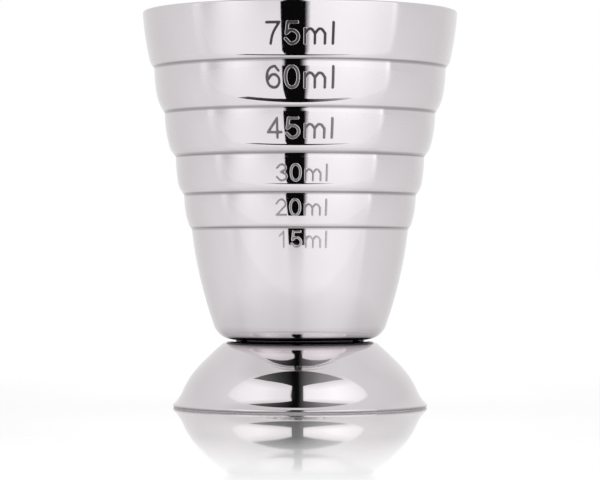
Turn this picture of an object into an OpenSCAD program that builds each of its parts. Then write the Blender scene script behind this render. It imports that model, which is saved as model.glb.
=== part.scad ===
// Cocktail jigger: a measuring cup pressed in steps from one sheet of stainless steel,
// projection welded to a hollow domed foot that flares out to a round-edged lip.
// Millimetres, +Z up, origin on the table under the middle of the foot.

/* [Overall] */
// Height of the whole jigger, from the table to the rim
jigger_h = 69; // [64:0.5:80]

/* [Cup sheet] */
// Sheet thickness of the cup
cup_wall = 0.7; // [0.5:0.05:1]
// Radius of the crease where the next tier starts
crease_r = 0.25; // [0.15:0.05:0.6]
// Lean of the wall just under the rim, in degrees from upright
rim_angle = 4; // [0:0.5:8]

/* [Tier diameters] */
// Outer diameter at the rim, the top of the 75 ml tier
rim_d = 55; // [53.5:0.25:60]
// Outer diameter at the top of the 60 ml tier
tier_60_d = 50.95; // [49.5:0.05:52.5]
// Outer diameter at the top of the 45 ml tier
tier_45_d = 47.3; // [45.5:0.1:49]
// Outer diameter at the top of the 30 ml tier
tier_30_d = 43.45; // [42.2:0.05:45.5]
// Outer diameter at the top of the 20 ml tier
tier_20_d = 40.55; // [39.5:0.05:41.5]
// Outer diameter at the top of the bowl, the 15 ml measure
bowl_d = 37.9; // [36:0.1:38.8]

/* [Tier heights] */
// Wall height of the 75 ml tier, from the rim to the bend at its foot
tier_75_h = 8.15; // [6.5:0.05:13]
// Wall height of the 60 ml tier
tier_60_h = 4.55; // [3.5:0.05:8]
// Wall height of the 45 ml tier
tier_45_h = 5.75; // [4.5:0.05:9]
// Wall height of the 30 ml tier
tier_30_h = 4.5; // [3.5:0.05:8]
// Wall height of the 20 ml tier
tier_20_h = 5; // [4:0.05:9]

/* [Steps] */
// How far the step under the 75 ml tier goes in
step_75_in = 0.8; // [0.5:0.05:1.4]
// How far the step under the 60 ml tier goes in
step_60_in = 1.4; // [0.8:0.05:1.8]
// How far the step under the 45 ml tier goes in
step_45_in = 1.1; // [0.6:0.05:1.6]
// How far the step under the 30 ml tier goes in
step_30_in = 1.05; // [0.6:0.05:1.4]
// How far the step under the 20 ml tier goes in, to the bowl
step_20_in = 0.55; // [0.4:0.05:1]
// Inside radius of the bend at the foot of the 75 ml tier
bend_75_r = 1.7; // [0.3:0.1:3]
// Inside radius of the bend at the foot of the 60 ml tier, the softest one
bend_60_r = 7.3; // [1:0.1:9]
// Inside radius of the bend at the foot of the 45 ml tier
bend_45_r = 3; // [0.3:0.1:5]
// Inside radius of the bend at the foot of the 30 ml tier
bend_30_r = 3.3; // [0.3:0.1:5]
// Inside radius of the bend at the foot of the 20 ml tier
bend_20_r = 1; // [0.3:0.1:3]

/* [Bowl] */
// Lean of the bowl's wall at its top, in degrees from upright
bowl_top_angle = 6.5; // [3:0.5:10]
// Lean of the bowl's wall at its bottom corner, in degrees from upright
bowl_bottom_angle = 19.5; // [15:0.5:26]
// Outer radius of the bowl's bottom corner
bowl_corner_r = 3.6; // [2:0.1:5]

/* [Foot] */
// Sheet thickness of the foot
foot_wall = 0.8; // [0.6:0.05:1.1]
// Height of the foot's flat crown above the table
foot_h = 11.55; // [9:0.05:15]
// Outer diameter of the foot over its lip
foot_d = 44.4; // [43.4:0.1:48]
// Diameter of the flat crown
crown_d = 24.5; // [21:0.1:26]
// Outer radius of the shoulder round the crown
shoulder_r = 2; // [1.2:0.1:3]
// Extra lean of the dome below the shoulder, in degrees over the line from crown to waist
dome_swell_angle = 5; // [2:0.5:8]
// Drop in lean at the waist, in degrees under the line from crown to waist
waist_tuck_angle = 21; // [16:0.5:26]
// Outer diameter of the waist, where the dome turns out again
waist_d = 41; // [38:0.1:42]
// Height of the waist above the table
waist_h = 2.9; // [2:0.1:4]
// Depth that is ground off the lip's round edge to stand flat
rest_cut = 0.06; // [0.03:0.01:0.15]

/* [Welds] */
// Number of projection welds round the crown, each an arc
welds = 3; // [2:1:6]
// Angle between the end of one weld and the start of the next
weld_gap_angle = 10; // [5:1:30]
// Diameter of the circle along the middle of the welds
weld_circle_d = 21.6; // [16:0.1:22]
// Width of a projection where it rises from the crown
projection_w = 1.2; // [0.9:0.05:1.4]
// Width of a projection's flat tip, and of its nugget
tip_w = 0.7; // [0.4:0.05:0.85]
// Height of a projection over the crown
projection_h = 0.15; // [0.1:0.01:0.3]
// Thickness of the weld nugget on a projection's tip
nugget_h = 0.1; // [0.05:0.01:0.2]

/* [Hidden] */

$fn = 120;

// Each bend is drawn in steps of at most bend_facet degrees and in at least bend_steps steps.
// A bend tighter than tight_r, such as a crease or a round edge, is drawn in steps of tight_facet.
bend_facet = 4;
bend_steps = 8;
tight_r = 1;
tight_facet = 9;

steel = "#cfcbce";
foot_steel = "#c6c2c5";
weld_steel = "#9c9894";

crown_top = foot_h;
cup_base = crown_top + projection_h + nugget_h;
edge_r = foot_wall / 2;
edge_c = [foot_d / 2 - edge_r, edge_r - rest_cut];
waist = [waist_d / 2, waist_h];
weld_angle = 360 / welds - weld_gap_angle;

// A section is walked as stations [point, lean]. Lean is how far the way down turns from
// straight down: positive leans in to the axis, negative flares out from it.
function outward(lean) = [cos(lean), -sin(lean)];
function downward(lean) = [-sin(lean), -cos(lean)];
function last(list) = list[len(list) - 1];

// Stations round a bend of radius r that ends at a new lean; more lean is convex outside
function bend(from, lean, r) =
    let (turn = lean - from[1])
    let (steps = r < tight_r ? ceil(abs(turn) / tight_facet) : max(bend_steps, ceil(abs(turn) / bend_facet)))
    [for (i = [1:steps])
        let (now = from[1] + turn * i / steps)
        [from[0] + sign(turn) * r * (outward(now) - outward(from[1])), now]];

// Station at the end of a straight run
function straight(from, length) = [[from[0] + length * downward(from[1]), from[1]]];

// Radius of a bend between two leans that drops by height
function bend_over(height, lean_a, lean_b) = height / abs(sin(lean_b) - sin(lean_a));

// Final lean of an arc that starts at a lean and moves in and down by these amounts
function arc_end_lean(lean, move_in, drop) = 2 * atan2(move_in, drop) - lean;

// A tier's wall, then the step below it: out of the wall, in along a ledge, and down again
// to the top of the tier below, which has its own diameter and lean there
function tier(from, height, inset, bend_r, below_d, below_lean) =
    let (corner_r = cup_wall + bend_r)
    let (wall_in = from[0][0] - below_d / 2 - inset)
    let (wall_lean = arc_end_lean(from[1], wall_in, height))
    let (wall = bend(from, wall_lean, bend_over(height, from[1], wall_lean)))
    let (reach = corner_r * cos(wall_lean) + crease_r * cos(below_lean) - inset)
    let (step_lean = acos(max(0, reach) / (corner_r + crease_r)))
    let (corner = bend(last(wall), step_lean, corner_r))
    let (ledge = reach < 0 ? straight(last(corner), -reach) : [])
    let (crease_from = last(concat(corner, ledge)))
    concat(wall, corner, ledge, bend(crease_from, below_lean, crease_r));

// The bowl's wall, its bottom corner and its flat base, down to the axis. The wall takes up
// the height that the tiers leave over the base and the corner.
function bowl(from) =
    let (wall_h = from[0][1] - cup_base - bowl_corner_r * (1 - sin(bowl_bottom_angle)))
    let (wall = bend(from, bowl_bottom_angle, bend_over(wall_h, bowl_top_angle, bowl_bottom_angle)))
    let (corner = bend(last(wall), 90, bowl_corner_r))
    concat(wall, corner, straight(last(corner), last(corner)[0][0]));

// The cup's outside, walked from under the half-round edge of the rim down to the axis
function cup_walk() =
    let (rim_h = jigger_h - cup_wall / 2 * (1 + sin(rim_angle)))
    let (rim = [[[rim_d / 2, rim_h], rim_angle]])
    let (to_60 = concat(rim, tier(last(rim), tier_75_h, step_75_in, bend_75_r, tier_60_d, 0)))
    let (to_45 = concat(to_60, tier(last(to_60), tier_60_h, step_60_in, bend_60_r, tier_45_d, 0)))
    let (to_30 = concat(to_45, tier(last(to_45), tier_45_h, step_45_in, bend_45_r, tier_30_d, 0)))
    let (to_20 = concat(to_30, tier(last(to_30), tier_30_h, step_30_in, bend_30_r, tier_20_d, 0)))
    let (bowl_step = tier(last(to_20), tier_20_h, step_20_in, bend_20_r, bowl_d, bowl_top_angle))
    let (to_bowl = concat(to_20, bowl_step))
    concat(to_bowl, bowl(last(to_bowl)));

// The foot's outside, walked from the axis over the crown, the dome and the flare to the lip
function foot_walk() =
    let (fall = [waist[0] - crown_d / 2, crown_top - waist[1]])
    let (crown_line = atan2(fall[0], fall[1]))
    let (dome_lean = -crown_line - dome_swell_angle)
    let (waist_lean = -crown_line + waist_tuck_angle)
    let (crown = concat([[[0, crown_top], -90]], straight([[0, crown_top], -90], crown_d / 2)))
    let (shoulder = bend(last(crown), dome_lean, shoulder_r))
    let (left = waist - last(shoulder)[0])
    // Straight length and bend radius that land on the waist at its lean
    let (swing = outward(waist_lean) - outward(dome_lean))
    let (run = downward(dome_lean))
    let (area = run[0] * swing[1] - run[1] * swing[0])
    let (length = (left[0] * swing[1] - left[1] * swing[0]) / area)
    let (dome_r = (run[0] * left[1] - run[1] * left[0]) / area)
    let (slope = straight(last(shoulder), length))
    let (dome = bend(last(slope), waist_lean, dome_r))
    // The middle of the sheet flares out on an arc to the centre of the lip's round edge, and
    // the outside keeps half a sheet from it
    let (half = foot_wall / 2)
    let (to_edge = edge_c - (waist - half * outward(waist_lean)))
    let (lip_lean = arc_end_lean(waist_lean, -to_edge[0], -to_edge[1]))
    let (flare_r = bend_over(-to_edge[1], waist_lean, lip_lean))
    let (flare = bend(last(dome), lip_lean, flare_r - half))
    concat(crown, shoulder, slope, dome, flare);

// The inside of a sheet, one wall in from its outside, walked back
function inside(walk, wall) =
    [for (i = [len(walk) - 1:-1:0]) walk[i][0] - wall * outward(walk[i][1])];

// Points round the half-round edge at a station. From 0 they run under the end of a walk, from
// its outside to its inside, and from -180 over the start of one, from its inside to its outside.
function round_edge(station, wall, from) =
    let (middle = station[0] - wall / 2 * outward(station[1]))
    let (steps = ceil(180 / tight_facet))
    [for (i = [1:steps - 1]) middle + wall / 2 * outward(station[1] + from + 180 * i / steps)];

// Sweeps a section, drawn about the middle of a weld, along every weld
module along_welds() {
    for (i = [0:welds - 1])
        rotate([0, 0, 90 + weld_gap_angle / 2 + 360 * i / welds])
            rotate_extrude(angle = weld_angle)
                translate([weld_circle_d / 2, 0])
                    children();
}

// Section of a projection: a straight root in the sheet, then sides that narrow to the tip
module projection_section() {
    polygon([
        [-projection_w / 2, -projection_h], [projection_w / 2, -projection_h], [projection_w / 2, 0],
        [tip_w / 2, projection_h], [-tip_w / 2, projection_h], [-projection_w / 2, 0]
    ]);
}

module measuring_cup() {
    walk = cup_walk();
    color(steel)
        rotate_extrude()
            polygon(concat([for (s = walk) s[0]], inside(walk, cup_wall), round_edge(walk[0], cup_wall, -180)));
}

// The sheet of the foot, ground flat where it stands
module foot_sheet() {
    walk = foot_walk();
    rotate_extrude()
        intersection() {
            polygon(concat([for (s = walk) s[0]], round_edge(last(walk), foot_wall, 0), inside(walk, foot_wall)));
            square([foot_d, foot_h]);
        }
}

module foot() {
    color(foot_steel)
        difference() {
            union() {
                foot_sheet();
                along_welds()
                    translate([0, crown_top])
                        projection_section();
            }
            // Each projection is a groove on the underside of the crown
            along_welds()
                translate([0, crown_top - foot_wall])
                    projection_section();
        }
}

module weld_nuggets() {
    color(weld_steel)
        along_welds()
            translate([-tip_w / 2, crown_top + projection_h])
                square([tip_w, nugget_h]);
}

measuring_cup();
foot();
weld_nuggets();
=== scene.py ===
# %% [markdown]
# # A cocktail jigger in polished steel
# The real jigger is two pressed sheets of stainless steel: a cup with a step for each measure,
# and a hollow domed foot that is welded under it. The CAD model already has both sheets at their
# true sizes. In Blender they get smooth curves, their finishes and the volume marks, and a small
# studio to be photographed in. Everything is in metres, in the CAD model's own frame.

# %% Load the solids
import math

import bmesh
import bpy
from mathutils import Matrix, Vector


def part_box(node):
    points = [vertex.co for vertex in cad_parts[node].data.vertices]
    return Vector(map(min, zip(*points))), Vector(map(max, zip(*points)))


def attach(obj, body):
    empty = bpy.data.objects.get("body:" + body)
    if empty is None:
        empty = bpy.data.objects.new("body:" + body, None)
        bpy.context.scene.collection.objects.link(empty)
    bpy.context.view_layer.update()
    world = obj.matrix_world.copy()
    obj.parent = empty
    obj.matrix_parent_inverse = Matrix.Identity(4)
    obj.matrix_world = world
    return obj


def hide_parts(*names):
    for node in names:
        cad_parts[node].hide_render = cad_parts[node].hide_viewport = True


MM = 0.001
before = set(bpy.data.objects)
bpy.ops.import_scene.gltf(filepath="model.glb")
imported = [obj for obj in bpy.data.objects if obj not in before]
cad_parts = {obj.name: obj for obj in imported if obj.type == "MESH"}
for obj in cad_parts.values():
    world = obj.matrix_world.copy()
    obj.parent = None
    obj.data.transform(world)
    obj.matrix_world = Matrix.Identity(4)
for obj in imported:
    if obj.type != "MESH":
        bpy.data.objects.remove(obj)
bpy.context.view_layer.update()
print("solids:", sorted(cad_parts))

# %% [markdown]
# ## The camera
# The photograph was taken level with the lower part of the cup, from about half a metre and with a
# long lens: the steps curve up above eye level and the foot curves down below it. A level camera
# keeps the cup's axis upright in the picture. It could be tilted to centre the jigger instead,
# but then the sides would lean, so the lens is shifted a little, as on a product camera.

# %% Camera
PICTURE_WIDTH, PICTURE_HEIGHT = 600, 480
CAMERA_AWAY = 500 * MM
CAMERA_HEIGHT = 27 * MM
PIXEL_AT_AXIS = 0.175 * MM
EYE_LEVEL_ROW = 252.4

product_camera = bpy.data.cameras.new("product_camera")
product_camera.sensor_width = 36
product_camera.lens = product_camera.sensor_width * CAMERA_AWAY / (PICTURE_WIDTH * PIXEL_AT_AXIS)
product_camera.shift_y = (EYE_LEVEL_ROW - PICTURE_HEIGHT / 2) / PICTURE_WIDTH
camera = bpy.data.objects.new("product_camera", product_camera)
camera.location = (0, -CAMERA_AWAY, CAMERA_HEIGHT)
camera.rotation_euler = (math.radians(90), 0, 0)
bpy.context.scene.collection.objects.link(camera)
bpy.context.scene.camera = camera
bpy.context.scene.view_settings.view_transform = "Standard"
print("lens in mm:", round(product_camera.lens, 1), "shift:", round(product_camera.shift_y, 4))

# %% [markdown]
# ## Colours and nodes
# Colours are written as hex values, the way a colour picker shows them. Blender's shaders work
# with linear light, so one function turns a hex value into linear red, green and blue. A second
# one adds a shader node, sets it up and links it, so that each material reads as a short list.
# Inputs of the same name are told apart by number: a Mix node has its share at 0, numbers at 2 and 3
# and colours at 6 and 7, and a Map Range node has its value at 0, the range that it lies in at 1 and 2
# and the range that it is turned into at 3 and 4.


# %% Helpers for materials
def linear(colour):
    """Linear RGBA of an sRGB hex colour."""
    parts = [int(colour[i : i + 2], 16) / 255 for i in (1, 3, 5)]
    return (*[c / 12.92 if c <= 0.04045 else ((c + 0.055) / 1.055) ** 2.4 for c in parts], 1)


def add_node(tree, kind, inputs=None, **settings):
    """A new shader node: settings go on the node, and each input takes a value or another node's output."""
    made = tree.nodes.new("ShaderNode" + kind)
    for name, value in settings.items():
        setattr(made, name, value)
    for name, value in (inputs or {}).items():
        if isinstance(value, bpy.types.NodeSocket):
            tree.links.new(value, made.inputs[name])
        else:
            made.inputs[name].default_value = value
    return made


def new_material(name):
    """An empty node material and its node tree."""
    material = bpy.data.materials.new(name)
    material.use_nodes = True
    material.node_tree.nodes.clear()
    return material, material.node_tree


print("white in linear light:", linear("#ffffff"))

# %% [markdown]
# ## The studio: a light tent
# Polished steel has hardly a colour of its own. What the eye sees on it is the studio, so the
# studio is built first. It is a tent of white cards all round: bright to the left and right of the
# camera, brighter on the right, pale grey at the sides and white again at the back. The upper cards
# differ a little from the lower ones, and the ceiling is plain pale grey. The camera looks in through
# a slit between the two front cards, and that slit is the black strip down the cup. The tent could
# be built from cards, but they would also show in the floor, so it is painted on the world instead:
# a brightness for each direction. The camera itself sees plain white.

# %% Cards of the tent
BLACK = 0.004
# Each stop is degrees to the right of the camera's direction, and brightness.
LOW_CARDS = [
    # back and left side
    (-180, 1.04), (-176, 1.0), (-168, 0.86), (-130, 0.82), (-92, 0.89), (-85, 0.91),
    # left front card
    (-83, 1.06), (-79, 1.06), (-76, 0.9), (-73, 0.8), (-69, 0.82), (-64, 0.98), (-58, 1.16),
    (-50, 1.26), (-42, 1.2), (-26, 0.95), (-13, 0.96),
    # slit
    (-12, BLACK), (1, BLACK),
    # right front card
    (6, 1.24), (36, 1.37), (48, 1.34), (60, 1.22), (70, 1.18), (71.5, 1.36), (74, 1.36),
    # right side and back
    (75, 0.84), (130, 0.81), (150, 0.88), (168, 0.9), (176, 1.0), (180, 1.04),
]
HIGH_CARDS = [
    # back and left side
    (-180, 1.0), (-156, 0.9), (-140, 0.84), (-104, 0.88), (-85, 0.93),
    # left front card
    (-82, 1.08), (-72, 1.18), (-54, 1.25), (-42, 1.23), (-30, 1.13), (-11.5, 1.02),
    # slit
    (-10.5, BLACK), (1.5, BLACK),
    # right front card
    (5.5, 1.18), (18, 1.26), (42, 1.39), (54, 1.34), (66, 1.24), (77, 1.14),
    # right side and back
    (80, 0.88), (120, 0.83), (140, 0.86), (156, 0.93), (180, 1.0),
]
# The low cards give way to the high ones, and those to the ceiling, between two elevations in degrees.
HIGH_FROM, HIGH_TO = 24, 38
CEILING_FROM, CEILING_TO = 50, 64
# The ceiling's brightness goes from left to right while a direction's X goes from -0.4 to 0.4.
CEILING_LEFT, CEILING_RIGHT, CEILING_SIDE = 0.78, 0.88, 0.4
print("tent:", len(LOW_CARDS), "stops low down and", len(HIGH_CARDS), "high up")


# %% Helpers for brightness by direction
def sine(degrees):
    """Sine of an angle in degrees."""
    return math.sin(math.radians(degrees))


def brightness_ramp(tree, value, stops):
    """Grey that follows a value: each stop is a value and its brightness."""
    first, last = stops[0][0], stops[-1][0]
    along = add_node(tree, "MapRange", {0: value, 1: first, 2: last, 3: 0, 4: 1}).outputs["Result"]
    ramp = add_node(tree, "ValToRGB", {"Fac": along})
    elements = ramp.color_ramp.elements
    while len(elements) < len(stops):
        elements.new(0.5)
    for element, (where, brightness) in zip(elements, stops):
        element.position = (where - first) / (last - first)
        element.color = (brightness, brightness, brightness, 1)
    return ramp.outputs["Color"]


def degrees_to_the_right(tree, vector):
    """How far a place or direction lies to the right of the camera's direction, seen from the axis."""
    xyz = add_node(tree, "SeparateXYZ", {0: vector}).outputs
    ahead = add_node(tree, "Math", {0: xyz["Y"], 1: -1}, operation="MULTIPLY").outputs["Value"]
    turn = add_node(tree, "Math", {0: xyz["X"], 1: ahead}, operation="ARCTAN2").outputs["Value"]
    return add_node(tree, "Math", {0: turn}, operation="DEGREES").outputs["Value"]


print("ceiling from an elevation of", CEILING_FROM, "degrees, sine", round(sine(CEILING_FROM), 3))

# %% Light tent
world = bpy.data.worlds.new("light_tent")
world.use_nodes = True
tree = world.node_tree
tree.nodes.clear()
way = add_node(tree, "TexCoord").outputs["Generated"]
xyz = add_node(tree, "SeparateXYZ", {0: way}).outputs
degrees = degrees_to_the_right(tree, way)
low_cards = brightness_ramp(tree, degrees, LOW_CARDS)
high_cards = brightness_ramp(tree, degrees, HIGH_CARDS)
high_share = add_node(
    tree, "MapRange", {0: xyz["Z"], 1: sine(HIGH_FROM), 2: sine(HIGH_TO), 3: 0, 4: 1}
).outputs["Result"]
cards = add_node(tree, "Mix", {0: high_share, 6: low_cards, 7: high_cards}, data_type="RGBA").outputs[2]
ceiling = add_node(
    tree, "MapRange", {0: xyz["X"], 1: -CEILING_SIDE, 2: CEILING_SIDE, 3: CEILING_LEFT, 4: CEILING_RIGHT}
).outputs["Result"]
ceiling_share = add_node(
    tree, "MapRange", {0: xyz["Z"], 1: sine(CEILING_FROM), 2: sine(CEILING_TO), 3: 0, 4: 1}
).outputs["Result"]
tent = add_node(tree, "Mix", {0: ceiling_share, 6: cards, 7: ceiling}, data_type="RGBA").outputs[2]
to_camera = add_node(tree, "LightPath").outputs["Is Camera Ray"]
seen = add_node(tree, "Mix", {0: to_camera, 6: tent, 7: linear("#ffffff")}, data_type="RGBA").outputs[2]
background = add_node(tree, "Background", {"Color": seen, "Strength": 1}).outputs["Background"]
add_node(tree, "OutputWorld", {"Surface": background})
bpy.context.scene.world = world
print("world:", world.name, len(tree.nodes), "nodes")

# %% [markdown]
# ## The floor: its white
# The jigger stands on a sheet of white acrylic. The white is part diffuse, so it keeps the soft
# shadow of the foot, and part its own light, so that it reads as white to the camera. It could be a
# plain diffuse sheet under more light, but that light would change the steel too. In the steel the
# floor has a brightness for each direction, as the tent has. It is dimmer close to the foot, which
# keeps light off it, and behind the dark bow that comes below.

# %% White acrylic
FLOOR_GLOW = 0.36
GLOW_UNDER_FOOT = 0.3 * FLOOR_GLOW
UNDER_FOOT_FROM, UNDER_FOOT_TO = 22 * MM, 60 * MM
# Each stop is degrees to the right of the camera's direction, and brightness.
GLOW_IN_METAL = [
    # back and left side
    (-180, 0.55), (-150, 0.42), (-130, 0.43), (-90, 0.55), (-72, 0.55),
    # front
    (-60, 0.63), (-48, 0.65), (-20, 0.63), (10, 0.69), (30, 0.75), (48, 0.72),
    # right side and back
    (72, 0.56), (90, 0.53), (130, 0.43), (150, 0.41), (180, 0.55),
]
DIMMER_BY_FOOT, BY_FOOT_FROM, BY_FOOT_TO = 0.2, 28 * MM, 60 * MM
DIMMER_BEHIND_BOW, BEHIND_FROM, BEHIND_TO = 0.07, -50 * MM, -44 * MM
# slope at which the shade behind the bow swings forward to the sides
BOW_SWEEP = 0.176

acrylic, tree = new_material("white_gloss_acrylic")
rays = add_node(tree, "LightPath").outputs
place = add_node(tree, "TexCoord").outputs["Object"]
from_axis = add_node(tree, "VectorMath", {0: place}, operation="LENGTH").outputs["Value"]
around = brightness_ramp(tree, degrees_to_the_right(tree, place), GLOW_IN_METAL)
by_foot = add_node(
    tree, "MapRange", {0: from_axis, 1: BY_FOOT_FROM, 2: BY_FOOT_TO, 3: DIMMER_BY_FOOT, 4: 0}
).outputs["Result"]
xyz = add_node(tree, "SeparateXYZ", {0: place}).outputs
aside = add_node(tree, "Math", {0: xyz["X"]}, operation="ABSOLUTE").outputs["Value"]
swept = add_node(
    tree, "Math", {0: aside, 1: BOW_SWEEP, 2: xyz["Y"]}, operation="MULTIPLY_ADD"
).outputs["Value"]
behind = add_node(
    tree, "MapRange", {0: swept, 1: BEHIND_FROM, 2: BEHIND_TO, 3: 0, 4: DIMMER_BEHIND_BOW}
).outputs["Result"]
dimmer = add_node(tree, "Math", {0: by_foot, 1: behind}, operation="ADD").outputs["Value"]
lit = add_node(tree, "Math", {0: around, 1: dimmer}, operation="SUBTRACT", use_clamp=True).outputs["Value"]
in_metal = add_node(tree, "Math", {0: rays["Is Glossy Ray"], 1: lit}, operation="MULTIPLY").outputs["Value"]
# for the camera the floor's own light is dimmer near the foot: a painted shadow of the foot
to_camera = add_node(
    tree, "MapRange", {0: from_axis, 1: UNDER_FOOT_FROM, 2: UNDER_FOOT_TO, 3: GLOW_UNDER_FOOT, 4: FLOOR_GLOW}
).outputs["Result"]
glow = add_node(
    tree, "Math", {0: rays["Is Camera Ray"], 1: to_camera, 2: in_metal}, operation="MULTIPLY_ADD"
).outputs["Value"]
own_light = add_node(tree, "Emission", {"Color": linear("#ffffff"), "Strength": glow}).outputs["Emission"]
white = add_node(
    tree, "Mix", {0: rays["Is Camera Ray"], 6: linear("#bababa"), 7: linear("#e0e0e0")}, data_type="RGBA"
).outputs[2]
diffuse = add_node(tree, "BsdfDiffuse", {"Color": white}).outputs["BSDF"]
core = add_node(tree, "AddShader", {0: own_light, 1: diffuse}).outputs["Shader"]
print("material:", acrylic.name, "with its own light of", FLOOR_GLOW)

# %% [markdown]
# ## The floor: its gloss
# Seen at a flat angle a glossy sheet mirrors strongly, which is what Fresnel gives. The photograph
# shows a still stronger image near the foot, and it fades out towards the front, so for the camera
# the Fresnel share is scaled by the distance from the axis. In the steel the gloss is rougher, so
# that the floor there stays one even white.


# %% Gloss and floor
def stage_object(name, shape, material, seen=False):
    """A stage object from a bmesh; unless it is seen, it only shows in the metal and throws no shadow."""
    mesh = bpy.data.meshes.new(name)
    shape.to_mesh(mesh)
    shape.free()
    mesh.materials.append(material)
    made = bpy.data.objects.new(name, mesh)
    made.visible_camera = made.visible_diffuse = made.visible_shadow = seen
    bpy.context.scene.collection.objects.link(made)
    return made


ACRYLIC_IOR = 1.49
FADE_FROM, FADE_TO = 85 * MM, 170 * MM
GAIN_BY_FOOT, GAIN_IN_FRONT = 1.2, 0.07
ROUGH_IN_METAL, ROUGH_TO_CAMERA = 0.22, 0.03
FLOOR_HALF = 2

fade = add_node(
    tree, "MapRange", {0: from_axis, 1: FADE_FROM, 2: FADE_TO, 3: GAIN_BY_FOOT, 4: GAIN_IN_FRONT}
).outputs["Result"]
gain = add_node(tree, "Mix", {0: rays["Is Camera Ray"], 2: 1.0, 3: fade}, data_type="FLOAT").outputs[0]
fresnel = add_node(tree, "Fresnel", {"IOR": ACRYLIC_IOR}).outputs["Fac"]
mirror_share = add_node(tree, "Math", {0: fresnel, 1: gain}, operation="MULTIPLY").outputs["Value"]
roughness = add_node(
    tree, "Mix", {0: rays["Is Camera Ray"], 2: ROUGH_IN_METAL, 3: ROUGH_TO_CAMERA}, data_type="FLOAT"
).outputs[0]
gloss = add_node(tree, "BsdfGlossy", {"Color": linear("#ffffff"), "Roughness": roughness}).outputs["BSDF"]
surface = add_node(tree, "MixShader", {0: mirror_share, 1: core, 2: gloss}).outputs["Shader"]
add_node(tree, "OutputMaterial", {"Surface": surface})

shape = bmesh.new()
bmesh.ops.create_grid(shape, x_segments=1, y_segments=1, size=FLOOR_HALF)
floor = stage_object("acrylic_floor", shape, acrylic, seen=True)
print("floor in metres:", floor.dimensions[:])

# %% [markdown]
# ## Dark things in front of the jigger
# Three dark things show in the steel: a shelf, a bow and an opening overhead. Each is one flat face
# that gives off as little light as it should show, since a black surface would also mirror and take
# on the tent's light. Some of them are clear to rays that wouldn't meet them in a real studio: from
# below, beyond a soft edge, or at a flat angle.

# %% Dark cards
# A soft right edge fades out between two angles, seen from this place.
SOFT_EDGE_FROM = Vector((1.2 * MM, -26 * MM))
SOFT_EDGE_START, SOFT_EDGE_END = math.radians(3.6), math.radians(8)
# degrees over which a card that is only dark to steep rays fades in
STEEP_BLEND = 4


def dark_card(name, stops=None, one_sided=False, soft_right_edge=False, steeper_than=None):
    """A dark thing's material: black, or a brightness from left to right, and where it is clear instead."""
    material, tree = new_material(name)
    place = add_node(tree, "SeparateXYZ", {0: add_node(tree, "TexCoord").outputs["Object"]}).outputs
    colour = brightness_ramp(tree, place["X"], stops) if stops else (BLACK, BLACK, BLACK, 1)
    light = add_node(tree, "Emission", {"Color": colour, "Strength": 1}).outputs["Emission"]
    clear = add_node(tree, "BsdfTransparent").outputs["BSDF"]
    if soft_right_edge:
        aside = add_node(tree, "Math", {0: place["X"], 1: SOFT_EDGE_FROM.x}, operation="SUBTRACT").outputs[0]
        ahead = add_node(tree, "Math", {0: SOFT_EDGE_FROM.y, 1: place["Y"]}, operation="SUBTRACT").outputs[0]
        turn = add_node(tree, "Math", {0: aside, 1: ahead}, operation="ARCTAN2").outputs[0]
        gone = add_node(
            tree, "MapRange", {0: turn, 1: SOFT_EDGE_START, 2: SOFT_EDGE_END, 3: 0, 4: 1}
        ).outputs["Result"]
        light = add_node(tree, "MixShader", {0: gone, 1: light, 2: clear}).outputs["Shader"]
    if steeper_than:
        incoming = add_node(tree, "NewGeometry").outputs["Incoming"]
        upward = add_node(tree, "SeparateXYZ", {0: incoming}).outputs["Z"]
        start, end = sine(steeper_than), sine(steeper_than + STEEP_BLEND)
        flat = add_node(tree, "MapRange", {0: upward, 1: start, 2: end, 3: 1, 4: 0}).outputs["Result"]
        light = add_node(tree, "MixShader", {0: flat, 1: light, 2: clear}).outputs["Shader"]
    if one_sided:
        underside = add_node(tree, "NewGeometry").outputs["Backfacing"]
        light = add_node(tree, "MixShader", {0: underside, 1: light, 2: clear}).outputs["Shader"]
    add_node(tree, "OutputMaterial", {"Surface": light})
    return material


shelf_black = dark_card("shelf_black", one_sided=True, soft_right_edge=True)
print("material:", shelf_black.name)

# %% [markdown]
# ## The camera's shelf
# A black shelf runs from just in front of the foot to behind the camera, under the slit. It carries
# the strip on below eye level, and its near edge ends the strip just above each step. Its right edge
# is soft, as the strip's is. It only counts from above. A box would do as well, but only its top shows.

# %% Shelf
# Each corner is X, Y and Z in millimetres.
SHELF_CORNERS = [(-8.7, -50, 18.5), (-490, -1990, 26), (300, -1990, 26), (6.5, -50, 18.5)]

shape = bmesh.new()
corners = [shape.verts.new([c * MM for c in corner]) for corner in SHELF_CORNERS]
shelf_top = bmesh.ops.contextual_create(shape, geom=corners)["faces"][0]
shelf_top.normal_update()
if shelf_top.normal.z < 0:
    shelf_top.normal_flip()
shelf = stage_object("camera_shelf", shape, shelf_black)
print("shelf in metres:", [round(size, 3) for size in shelf.dimensions])

# %% [markdown]
# ## The bow: painted shade under the front cards
# To both sides the shelf's near edge ends in a sloping bow, a dark sheet that stands in for the shade
# in the gap under the front cards and draws the thin dark wings beside the strip just above the steps.
# In the middle the bow widens like a funnel, so wings and strip run into each other. It fades to the
# right, and it is clear to rays that come in at a flat angle. One face with eleven corners is enough,
# since only its outline shows in the steel.

# %% Bow
# Each corner is X and Y in millimetres, in the bow's own sloping plane.
BOW_CORNERS = [
    # edge towards the camera, with the funnel in its middle
    (-50, -8), (-22, -8.5), (-11, -10.5), (-6, -16), (3, -16), (8, -10.5), (20, -7.5), (42, -5.5),
    # edge towards the jigger
    (42, 5.5), (0, 8), (-50, 8),
]
BOW_PLACE, BOW_SLOPE = Vector((0, -53 * MM, 15 * MM)), math.radians(26)
BOW_LEVELS = [(-50, 0.3), (-44, 0.08), (-8, BLACK), (5, BLACK), (12, 0.12), (28, 0.42), (42, 1)]
BOW_STEEPER_THAN = 31

# painted shade: a dark sheet for the shade in the gap under the front cards
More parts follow.
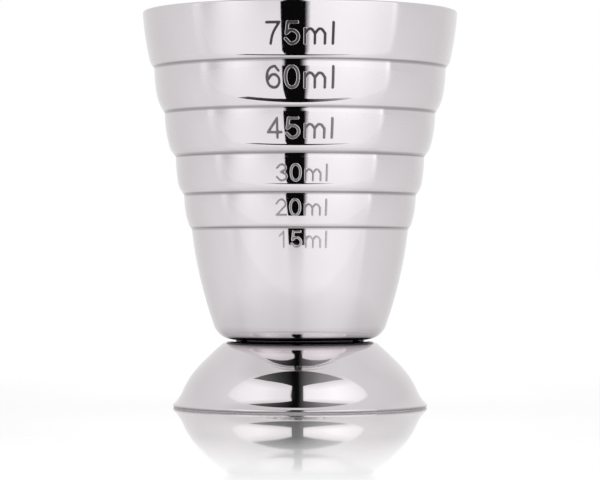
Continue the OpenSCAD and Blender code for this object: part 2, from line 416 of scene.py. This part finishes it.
bow_painted_shade = dark_card(
    "bow_painted_shade", [(x * MM, level) for x, level in BOW_LEVELS], one_sided=True, steeper_than=BOW_STEEPER_THAN
)
shape = bmesh.new()
bmesh.ops.contextual_create(shape, geom=[shape.verts.new((x * MM, y * MM, 0)) for x, y in BOW_CORNERS])
bow_tilt = Matrix.Translation(BOW_PLACE) @ Matrix.Rotation(BOW_SLOPE, 4, "X")
bmesh.ops.transform(shape, verts=shape.verts, matrix=bow_tilt)
bow = stage_object("painted_shade_bow", shape, bow_painted_shade)
print("bow in metres:", [round(size, 3) for size in bow.dimensions])

# %% [markdown]
# ## The opening of the tent
# Overhead the tent is open above the camera. The domed foot mirrors that opening as a dark lens, and
# the opening's narrow tail towards the camera carries the dark strip on below the lens. It could be
# painted on the world, but it is near, so each place on the dome sees it in another direction.

# %% Opening
OPENING_HEIGHT = 150 * MM
# Each corner is X and Y in millimetres.
OPENING_CORNERS = [
    # edge above the jigger, then the right edge
    (-99, -37), (95, -45), (52, -84), (24, -102), (8, -113),
    # tail towards the camera
    (10, -190), (-27, -190),
    # left edge
    (-20, -111), (-38, -94), (-72, -67),
]
# Each stop is X in millimetres, and brightness.
OPENING_LEVELS = [
    (-99, 0.2), (-70, 0.13), (-45, 0.06), (-28, 0.03), (-14, BLACK), (-4, BLACK),
    (10, 0.12), (27, 0.2), (44, 0.32), (95, 0.48),
]

opening_dark = dark_card("tent_opening", [(x * MM, level) for x, level in OPENING_LEVELS])
shape = bmesh.new()
corners = [shape.verts.new((x * MM, y * MM, OPENING_HEIGHT)) for x, y in OPENING_CORNERS]
bmesh.ops.contextual_create(shape, geom=corners)
opening = stage_object("tent_opening", shape, opening_dark)

# %% [markdown]
# ## The sections
# A pressed cup and its foot are bodies of revolution, so both are turned: a section is spun round
# the axis. The sections don't have to be drawn again. A copy of a CAD solid is cut by the plane
# through its axis, and what lies on the plane is the exact outline of the sheet, inside and out.
# Where a long straight wall meets a short bend it gets a point close to its end, so that smooth
# shading stays in the bend and the wall itself stays flat.

# %% Cut the sections
LONG_EDGE, END_POINT = 0.6 * MM, 0.12 * MM
SHORT_NEIGHBOUR = 0.5
SAME_POINT, ON_PLANE = 0.0005 * MM, 0.0002 * MM


def half_section(node):
    """The outline of a CAD node in the half plane Y = 0, X > 0, as edges in a bmesh."""
    section = bmesh.new()
    section.from_mesh(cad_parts[node].data)
    bmesh.ops.remove_doubles(section, verts=section.verts, dist=SAME_POINT)
    for normal, both_sides in (((0, 1, 0), True), ((1, 0, 0), False)):
        bmesh.ops.bisect_plane(
            section,
            geom=section.verts[:] + section.edges[:] + section.faces[:],
            dist=ON_PLANE,
            plane_co=(0, 0, 0),
            plane_no=normal,
            clear_inner=True,
            clear_outer=both_sides,
        )
    bmesh.ops.remove_doubles(section, verts=section.verts, dist=SAME_POINT)
    for vert in section.verts[:]:
        beside = sorted(vert.link_edges, key=lambda edge: edge.calc_length())
        length = beside[-1].calc_length()
        if length > LONG_EDGE and beside[0].calc_length() < SHORT_NEIGHBOUR * length:
            bmesh.utils.edge_split(beside[-1], vert, END_POINT / length)
    return section


cup_section = half_section("measuring_cup")
foot_section = half_section("foot")
print("points in the sections:", len(cup_section.verts), "and", len(foot_section.verts))

# %% [markdown]
# ## The cup's wall
# The marks later lie on the outside of the wall, and painted shade darkens the creases under
# the steps. Both need the wall's outer radius at each height. It is read from the section once and
# kept as a table, and a crease is where the wall, going up, suddenly turns outwards.

# %% Outer radius and creases
HEIGHT_STEP = 0.05 * MM
CREASE_SLOPE = 0.5
cup_low = min(vert.co.z for vert in cup_section.verts)
cup_high = max(vert.co.z for vert in cup_section.verts)


def outer_radius(section, height):
    """Outer radius of a section at a height."""
    reach = 0
    for a, b in ([vert.co for vert in edge.verts] for edge in section.edges):
        if min(a.z, b.z) <= height <= max(a.z, b.z) and a.z != b.z:
            reach = max(reach, a.x + (height - a.z) / (b.z - a.z) * (b.x - a.x))
    return reach


heights = [cup_low + i * HEIGHT_STEP for i in range(int((cup_high - cup_low) / HEIGHT_STEP))]
wall_table = [outer_radius(cup_section, height) for height in heights]
slopes = [(above - below) / HEIGHT_STEP for below, above in zip(wall_table, wall_table[1:])]
creases = [heights[i] for i in range(1, len(slopes)) if slopes[i - 1] < CREASE_SLOPE <= slopes[i]]


def wall_radius(height):
    """Outer radius of the cup at a height, read between two entries of the table."""
    row, share = divmod((height - cup_low) / HEIGHT_STEP, 1)
    return wall_table[int(row)] * (1 - share) + wall_table[int(row) + 1] * share


print("creases at, in mm:", [round(height / MM, 2) for height in creases])

# %% [markdown]
# ## Polished stainless steel
# The outside of both sheets is buffed to a mirror. Metal keeps its default IOR and is fully
# metallic. A mirror finish still isn't perfect: buffing leaves a faint haze of fine rings, and
# hands leave soft smudges, so the roughness drifts a little over the surface. The creases, the
# narrow neck over the foot and the lip's contact line get painted shade: a darker tint at those
# heights stands in for the shade that falls there, and in the creases also for polishing residue.

# %% Painted shade in the creases, the neck and under the lip
# share of the light that the painted shade leaves in a crease, in the gap, in the neck above it and on the
# lip
CREASE_LEFT, GAP_LEFT, NECK_LEFT, LIP_LEFT = 0.42, 0.3, 0.04, 0.25
neck_low, neck_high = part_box("weld_nuggets")[0].z, cup_low

# Each stop is a height, and the share of the light that is left there.
painted_shade_stops = [(0, LIP_LEFT), (0.2 * MM, LIP_LEFT), (0.4 * MM, 1)]
painted_shade_stops += [(neck_low - 0.25 * MM, 1), (neck_low - 0.1 * MM, GAP_LEFT), (neck_high + 0.05 * MM, GAP_LEFT)]
painted_shade_stops += [(neck_high + 0.15 * MM, NECK_LEFT), (neck_high + 0.4 * MM, NECK_LEFT)]
painted_shade_stops += [(neck_high + 0.75 * MM, 0.7), (neck_high + 1.3 * MM, 1)]
for crease in creases:
    painted_shade_stops += [(crease - 0.25 * MM, 1), (crease - 0.05 * MM, CREASE_LEFT)]
    painted_shade_stops += [(crease + 0.15 * MM, CREASE_LEFT), (crease + 0.35 * MM, 1)]
painted_shade_stops += [(cup_high, 1)]
print("paste:", len(painted_shade_stops), "stops; neck in mm:", round(neck_low / MM, 2), "to", round(neck_high / MM, 2))

# %% Mirror-buffed steel
RING_SPACING = 0.35 * MM
SMUDGE_SIZE = 9 * MM
RING_SHARE = 0.15
# most values of a noise lie between these two
NOISE_LOW, NOISE_HIGH = 0.3, 0.7
MIRROR_BEST, MIRROR_WORST = 0.03, 0.05


def turned_rings(tree, place, spacing):
    """Noise that is constant round the Z axis: fine rings that follow a turned or buffed surface."""
    xyz = add_node(tree, "SeparateXYZ", {0: place}).outputs
    flat = add_node(tree, "CombineXYZ", {"X": xyz["X"], "Y": xyz["Y"]}).outputs["Vector"]
    radius = add_node(tree, "VectorMath", {0: flat}, operation="LENGTH").outputs["Value"]
    profile = add_node(tree, "CombineXYZ", {"X": radius, "Y": xyz["Z"]}).outputs["Vector"]
    return add_node(
        tree, "TexNoise", {"Vector": profile, "Scale": 1 / spacing, "Detail": 2}, noise_dimensions="2D"
    ).outputs["Fac"]


mirror_steel, tree = new_material("mirror_buffed_stainless_steel")
place = add_node(tree, "TexCoord").outputs["Object"]
smudges = add_node(tree, "TexNoise", {"Vector": place, "Scale": 1 / SMUDGE_SIZE, "Detail": 3}).outputs["Fac"]
rings = turned_rings(tree, place, RING_SPACING)
haze = add_node(tree, "Mix", {0: RING_SHARE, 2: smudges, 3: rings}, data_type="FLOAT").outputs[0]
roughness = add_node(
    tree, "MapRange", {0: haze, 1: NOISE_LOW, 2: NOISE_HIGH, 3: MIRROR_BEST, 4: MIRROR_WORST}
).outputs["Result"]
buffed = add_node(
    tree, "Mix", {0: smudges, 6: linear("#dad5d8"), 7: linear("#e0dbde")}, data_type="RGBA"
).outputs[2]
# painted shade: the buffed tint is multiplied by a darker tint in the creases, the neck gap and under the
# lip
painted_shade = brightness_ramp(tree, add_node(tree, "SeparateXYZ", {0: place}).outputs["Z"], painted_shade_stops)
tint = add_node(
    tree, "Mix", {0: 1.0, 6: buffed, 7: painted_shade}, data_type="RGBA", blend_type="MULTIPLY"
).outputs[2]
steel = add_node(
    tree, "BsdfPrincipled", {"Base Color": tint, "Metallic": 1, "Roughness": roughness}
).outputs["BSDF"]
add_node(tree, "OutputMaterial", {"Surface": steel})
print("material:", mirror_steel.name)

# %% [markdown]
# ## Satin stainless steel
# The insides aren't buffed. They keep the satin of the pressed and turned sheet: a rougher metal
# with fine concentric rings, which spread each highlight into a fan. The rings could be cut into the
# mesh, but they are far finer than its faces, so they are roughness and a slight bump.

# %% Satin steel
TURNING_SPACING, TURNING_DEPTH, TURNING_STRENGTH = 0.25 * MM, 0.02 * MM, 0.35
CLOUD_SIZE = 6 * MM
SATIN_BEST, SATIN_WORST = 0.2, 0.34

satin_steel, tree = new_material("satin_turned_stainless_steel")
place = add_node(tree, "TexCoord").outputs["Object"]
rings = turned_rings(tree, place, TURNING_SPACING)
clouds = add_node(tree, "TexNoise", {"Vector": place, "Scale": 1 / CLOUD_SIZE, "Detail": 3}).outputs["Fac"]
roughness = add_node(
    tree, "MapRange", {0: rings, 1: NOISE_LOW, 2: NOISE_HIGH, 3: SATIN_BEST, 4: SATIN_WORST}
).outputs["Result"]
tint = add_node(
    tree, "Mix", {0: clouds, 6: linear("#d4cfd2"), 7: linear("#dedadd")}, data_type="RGBA"
).outputs[2]
bump = add_node(
    tree, "Bump", {"Height": rings, "Strength": TURNING_STRENGTH, "Distance": TURNING_DEPTH}
).outputs["Normal"]
steel = add_node(
    tree, "BsdfPrincipled", {"Base Color": tint, "Metallic": 1, "Roughness": roughness, "Normal": bump}
).outputs["BSDF"]
add_node(tree, "OutputMaterial", {"Surface": steel})
print("material:", satin_steel.name)

# %% [markdown]
# ## The cup
# The cup is its section, spun in 240 steps. The CAD solid could be shown as it is, but a mirror
# finish would show its facets, and the finer lathe with smooth shading has none to see. The outside
# is buffed and the inside keeps its satin.

# %% Cup
LATHE_STEPS = 240


def turn_on_lathe(section):
    """Spins a section into a closed body with its faces outwards."""
    bmesh.ops.spin(
        section,
        geom=section.verts[:] + section.edges[:],
        cent=(0, 0, 0),
        axis=(0, 0, 1),
        angle=math.tau,
        steps=LATHE_STEPS,
        use_merge=True,
    )
    bmesh.ops.remove_doubles(section, verts=section.verts, dist=SAME_POINT)
    bmesh.ops.recalc_face_normals(section, faces=section.faces)
    return section


def finish_sides(shape, down_is_outside):
    """Mirror finish (slot 0) on the outside of a sheet and satin (slot 1) on the inside, both smooth."""
    for face in shape.faces:
        out = Vector((*face.calc_center_median()[:2], 0)).normalized().dot(face.normal)
        up = -face.normal.z if down_is_outside else face.normal.z
        face.material_index = 0 if out + up > 0 else 1
        face.smooth = True


def steel_piece(name, shape, slot, *materials):
    """A piece of the jigger from a bmesh, riding on the one body."""
    mesh = bpy.data.meshes.new(name)
    shape.to_mesh(mesh)
    shape.free()
    for material in materials:
        mesh.materials.append(material)
    made = bpy.data.objects.new(name, mesh)
    bpy.context.scene.collection.objects.link(made)
    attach(made, "root")
    return made


cup_shape = turn_on_lathe(cup_section)
finish_sides(cup_shape, down_is_outside=True)
cup = steel_piece("stepped_cup", cup_shape, "cup_steel", mirror_steel, satin_steel)
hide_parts("measuring_cup")
print("cup:", len(cup.data.polygons), "faces")

# %% [markdown]
# ## The shape of the dome
# In CAD the foot's dome is a straight run and an arc. A mirror finish shows differences of a few
# hundredths of a millimetre, and the reflections in the photograph suggest a dome that is a little
# fuller under the shoulder and flatter below. The solid could be drawn like that, but nobody would
# measure it, so only the outside of the section is moved here, by a soft wave.

# %% Fullness of the dome
# Each stop is a height, and how far the sheet stands out from the CAD outline, in millimetres.
FULLNESS = [(11.5, 0), (10.9, 0.066), (10.2, 0.066), (7.6, -0.065), (4.0, 0)]
DOME_SLOPE = math.radians(48)
OUTSIDE_WITHIN = 0.1 * MM
outward = Vector((math.cos(DOME_SLOPE), 0, math.sin(DOME_SLOPE)))


def fullness(height):
    """How far the foot's sheet stands out at a height, both in millimetres: a wave through the stops."""
    for (above, at_above), (below, at_below) in zip(FULLNESS, FULLNESS[1:]):
        if below <= height <= above:
            share = (1 - math.cos(math.pi * (height - below) / (above - below))) / 2
            return at_below + (at_above - at_below) * share
    return 0


outside = [v for v in foot_section.verts if v.co.x > outer_radius(foot_section, v.co.z) - OUTSIDE_WITHIN]
for vert in outside:
    vert.co += outward * fullness(vert.co.z / MM) * MM
print("points on the outside of the foot:", len(outside))

# %% [markdown]
# ## The foot
# The foot is turned in the same way as the cup. On its crown it has three raised arcs, each pressed
# up from below, which carry the weld current and melt first when the foot is welded on. The section
# goes through one of them, so the lathe makes a whole ring, and the ring is pressed flat again in the
# three short gaps between the arcs. That is simpler than adding three arcs to a plain crown.

# %% Foot
ARCS = 3
GAP_MIDDLE, GAP_HALF = 90, 5
GROOVE_WITHIN = 0.1
SHARP_ANGLE = math.radians(25)
AXIS_WITHIN, ARC_MARGIN = 0.01 * MM, 0.05 * MM

on_axis = [vert.co.z for vert in foot_section.verts if vert.co.x < AXIS_WITHIN]
crown_top, crown_under = max(on_axis), min(on_axis)
arc_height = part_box("foot")[1].z - crown_top
arc_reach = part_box("weld_nuggets")[1].x + ARC_MARGIN
foot_shape = turn_on_lathe(foot_section)
for vert in foot_shape.verts:
    around = math.degrees(math.atan2(vert.co.y, vert.co.x)) - GAP_MIDDLE
    past_gap = (around + 180 / ARCS) % (360 / ARCS) - 180 / ARCS
    on_arc = vert.co.z > crown_top + arc_height / 2
    at_groove_top = abs(vert.co.z - crown_under - arc_height) < GROOVE_WITHIN * arc_height
    in_groove = at_groove_top and vert.co.xy.length < arc_reach
    if abs(past_gap) < GAP_HALF and (on_arc or in_groove):
        vert.co.z -= arc_height
finish_sides(foot_shape, down_is_outside=False)
foot = steel_piece("domed_foot", foot_shape, "foot_steel", mirror_steel, satin_steel)
foot.data.set_sharp_from_angle(angle=SHARP_ANGLE)
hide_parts("foot")
print("foot:", len(foot.data.polygons), "faces; height of the arcs in mm:", round(arc_height / MM, 3))

# %% [markdown]
# ## Weld metal
# The three weld nuggets are hardly seen in the gap between cup and foot. Their CAD solids are
# right, so they stay and only get a material: dull steel with a straw and blue heat tint. Modelled
# weld ripples would never be seen there.

# %% Weld metal
BLOTCH_SIZE = 0.8 * MM
WELD_BEST, WELD_WORST = 0.4, 0.65

weld_metal, tree = new_material("heat_tinted_weld_steel")
place = add_node(tree, "TexCoord").outputs["Object"]
blotches = add_node(
    tree, "TexNoise", {"Vector": place, "Scale": 1 / BLOTCH_SIZE, "Detail": 4}
).outputs["Fac"]
tint = add_node(
    tree, "Mix", {0: blotches, 6: linear("#8d8277"), 7: linear("#767a86")}, data_type="RGBA"
).outputs[2]
roughness = add_node(tree, "MapRange", {0: blotches, 3: WELD_BEST, 4: WELD_WORST}).outputs["Result"]
steel = add_node(
    tree, "BsdfPrincipled", {"Base Color": tint, "Metallic": 1, "Roughness": roughness}
).outputs["BSDF"]
add_node(tree, "OutputMaterial", {"Surface": steel})
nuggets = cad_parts["weld_nuggets"]
nuggets.data.materials.clear()
nuggets.data.materials.append(weld_metal)
print("weld nuggets:", len(nuggets.data.polygons), "faces")

# %% [markdown]
# ## Volume marks
# Each tier carries its measure. The marks are written with a round tool that leaves a dull dark
# line with a bright burnished edge, darker on the upper tiers than on the lower ones. A font would
# give flat letters, so each letter is a few pen strokes instead, as an engraving machine has them:
# straight lines and smooth curves through a few points, in units of the letter's height.

# %% Letters
LETTERS = {
    # room to the next letter, then the strokes: a line, a curve or a closed loop through its points
    "0": (0.776, [("loop", (0.39, 0.93), (0.65, 0.5), (0.39, 0.07), (0.13, 0.5))]),
    "1": (0.776, [("line", (0.2, 0.7), (0.43, 0.93)), ("line", (0.43, 0.93), (0.43, 0.07))]),
    "2": (
        0.776,
        [
            ("curve", (0.13, 0.7), (0.39, 0.93), (0.64, 0.7), (0.45, 0.4), (0.12, 0.07)),
            ("line", (0.12, 0.07), (0.66, 0.07)),
        ],
    ),
    "3": (
        0.776,
        [
            ("curve", (0.13, 0.75), (0.37, 0.93), (0.61, 0.74), (0.34, 0.53)),
            ("curve", (0.34, 0.53), (0.65, 0.3), (0.38, 0.07), (0.12, 0.26)),
        ],
    ),
    "4": (
        0.776,
        [
            ("line", (0.5, 0.07), (0.5, 0.93)),
            ("line", (0.5, 0.93), (0.09, 0.31)),
            ("line", (0.09, 0.31), (0.68, 0.31)),
        ],
    ),
    "5": (
        0.776,
        [
            ("line", (0.61, 0.93), (0.22, 0.93)),
            ("line", (0.22, 0.93), (0.16, 0.47)),
            ("curve", (0.16, 0.47), (0.38, 0.61), (0.65, 0.34), (0.38, 0.07), (0.12, 0.26)),
        ],
    ),
    "6": (
        0.776,
        [
            (
                "curve",
                (0.62, 0.76),
                (0.41, 0.93),
                (0.13, 0.47),
                (0.4, 0.07),
                (0.65, 0.33),
                (0.41, 0.6),
                (0.14, 0.36),
            )
        ],
    ),
    "7": (
        0.776,
        [("line", (0.12, 0.93), (0.65, 0.93)), ("curve", (0.65, 0.93), (0.38, 0.48), (0.27, 0.07))],
    ),
    "m": (
        1.163,
        [
            ("line", (0.155, 0.07), (0.155, 0.66)),
            ("curve", (0.155, 0.47), (0.37, 0.66), (0.56, 0.48)),
            ("line", (0.56, 0.48), (0.56, 0.07)),
            ("curve", (0.56, 0.47), (0.78, 0.66), (0.98, 0.48)),
            ("line", (0.98, 0.48), (0.98, 0.07)),
        ],
    ),
    "l": (0.31, [("line", (0.155, 0.07), (0.155, 0.93))]),
}
print("letters:", " ".join(LETTERS))

# %% [markdown]
# ## Writing with the pen
# The strokes are Bezier curves with a round bevel and a ball at each end, as a round tool leaves.
# Where strokes meet they overlap, so a voxel remesh makes one closed skin of a whole mark. A boolean
# union could do that too, but it often fails on tubes that only just touch.

# %% Written marks
LINE_WIDTH = 0.145
VOXEL = 0.018
SMOOTHING_ROUNDS = 2


def written(words):
    """The strokes of some letters as one closed skin, one letter height tall."""
    path = bpy.data.curves.new("pen_path", "CURVE")
    path.dimensions = "3D"
    path.bevel_depth = LINE_WIDTH / 2
    path.use_fill_caps = True
    shape = bmesh.new()
    letter_start = 0
    for letter in words:
        advance, strokes = LETTERS[letter]
        for kind, *points in strokes:
            spline = path.splines.new("BEZIER")
            spline.use_cyclic_u = kind == "loop"
            spline.bezier_points.add(len(points) - 1)
            for knot, (x, y) in zip(spline.bezier_points, points):
                knot.co = (letter_start + x, y, 0)
                knot.handle_left_type = knot.handle_right_type = "VECTOR" if kind == "line" else "AUTO"
            for knot in (spline.bezier_points[0], spline.bezier_points[-1]):
                bmesh.ops.create_icosphere(
                    shape, subdivisions=3, radius=LINE_WIDTH / 2, matrix=Matrix.Translation(knot.co)
                )
        letter_start += advance
    pen = bpy.data.objects.new("pen_path", path)
    bpy.context.scene.collection.objects.link(pen)
    bpy.context.view_layer.update()
    lines = bpy.data.meshes.new_from_object(pen.evaluated_get(bpy.context.evaluated_depsgraph_get()))
    bpy.data.objects.remove(pen)
    shape.from_mesh(lines)
    shape.to_mesh(lines)
    shape.free()
    draft = bpy.data.objects.new("letters", lines)
    bpy.context.scene.collection.objects.link(draft)
    skin = draft.modifiers.new("skin", "REMESH")
    skin.mode, skin.voxel_size = "VOXEL", VOXEL
    bpy.context.view_layer.update()
    joined = bpy.data.meshes.new_from_object(draft.evaluated_get(bpy.context.evaluated_depsgraph_get()))
    bpy.data.objects.remove(draft)
    shape = bmesh.new()
    shape.from_mesh(joined)
    bpy.data.meshes.remove(joined)
    for _ in range(SMOOTHING_ROUNDS):
        bmesh.ops.smooth_vert(
            shape, verts=shape.verts, factor=0.5, use_axis_x=True, use_axis_y=True, use_axis_z=True
        )
    return shape


print("a line is", LINE_WIDTH, "of a letter's height wide")

# %% [markdown]
# ## Etched steel
# A mark's line is etched dull and dark in its middle, and its edges keep a burnished polish. Each
# mark carries its own attribute, which says how dull it is at each point. It could be painted with a
# texture, but then the lines would blur at their edges.

# %% Etched steel
GRIT_SIZE = 0.2 * MM
BURNISHED, ETCHED = 0.06, 0.6

etched_steel, tree = new_material("etched_stainless_steel")
place = add_node(tree, "TexCoord").outputs["Object"]
grit = add_node(tree, "TexNoise", {"Vector": place, "Scale": 1 / GRIT_SIZE, "Detail": 2}).outputs["Fac"]
etched = add_node(tree, "Attribute", attribute_name="etched").outputs["Fac"]
dull = add_node(
    tree, "Mix", {0: grit, 6: linear("#4a4649"), 7: linear("#5c585b")}, data_type="RGBA"
).outputs[2]
tint = add_node(tree, "Mix", {0: etched, 6: linear("#ddd8db"), 7: dull}, data_type="RGBA").outputs[2]
roughness = add_node(tree, "MapRange", {0: etched, 3: BURNISHED, 4: ETCHED}).outputs["Result"]
steel = add_node(
    tree, "BsdfPrincipled", {"Base Color": tint, "Metallic": 1, "Roughness": roughness}
).outputs["BSDF"]
add_node(tree, "OutputMaterial", {"Surface": steel})
print("material:", etched_steel.name)

# %% [markdown]
# ## Marks on the wall
# A written mark is flat. It is scaled to its size, pressed very thin and then wrapped round its
# tier, each point at the wall's own radius at that height. How far a point stands proud also says
# how dull it is. The marks could be cut into the wall instead, but so shallow a cut would only add
# faces to a smooth mirror.

# %% Marks on the wall
PROUD = 0.05 * MM
POLISHED_BELOW, ETCHED_ABOVE = 0.5, 0.75


def volume_mark(words, darkness, width, height, aside, up):
    """A mark of a width and height whose middle lies aside of the front line, at a height up."""
    shape = written(words)
    low = Vector([min(v.co[i] for v in shape.verts) for i in range(3)])
    high = Vector([max(v.co[i] for v in shape.verts) for i in range(3)])
    size, middle = high - low, (low + high) / 2
    bmesh.ops.translate(shape, verts=shape.verts, vec=-middle)
    bmesh.ops.scale(shape, verts=shape.verts, vec=(width / size.x, height / size.y, 2 * PROUD / size.z))
    dullness = shape.verts.layers.float.new("etched")
    front = wall_radius(up)
    for vert in shape.verts:
        share = (vert.co.z / PROUD - POLISHED_BELOW) / (ETCHED_ABOVE - POLISHED_BELOW)
        vert[dullness] = darkness * min(max(share, 0), 1)
        radius = wall_radius(up + vert.co.y) + vert.co.z
        turn = (aside + vert.co.x) / front
        vert.co = (radius * math.sin(turn), -radius * math.cos(turn), up + vert.co.y)
    bmesh.ops.recalc_face_normals(shape, faces=shape.faces)
    for face in shape.faces:
        face.smooth = True
    return shape


MARKS = [
    # words, darkness, then width, height, aside and up in millimetres
    ("75ml", 1.0, 11.7, 4.05, 0.0, 63.4),
    ("60ml", 0.9, 11.7, 4.05, 0.0, 56.2),
    ("45ml", 0.76, 11.4, 3.75, 0.0, 47.8),
    ("30ml", 0.53, 8.9, 3.1, 0.3, 40.4),
    ("20ml", 0.53, 8.9, 3.0, 0.2, 34.6),
    ("15ml", 0.43, 8.3, 3.05, 0.5, 29.2),
]
for words, darkness, *sizes in MARKS:
    mark_shape = volume_mark(words, darkness, *[size * MM for size in sizes])
    mark = steel_piece("mark_" + words, mark_shape, "cup_steel", etched_steel)
    print("mark:", mark.name, len(mark.data.polygons), "faces")
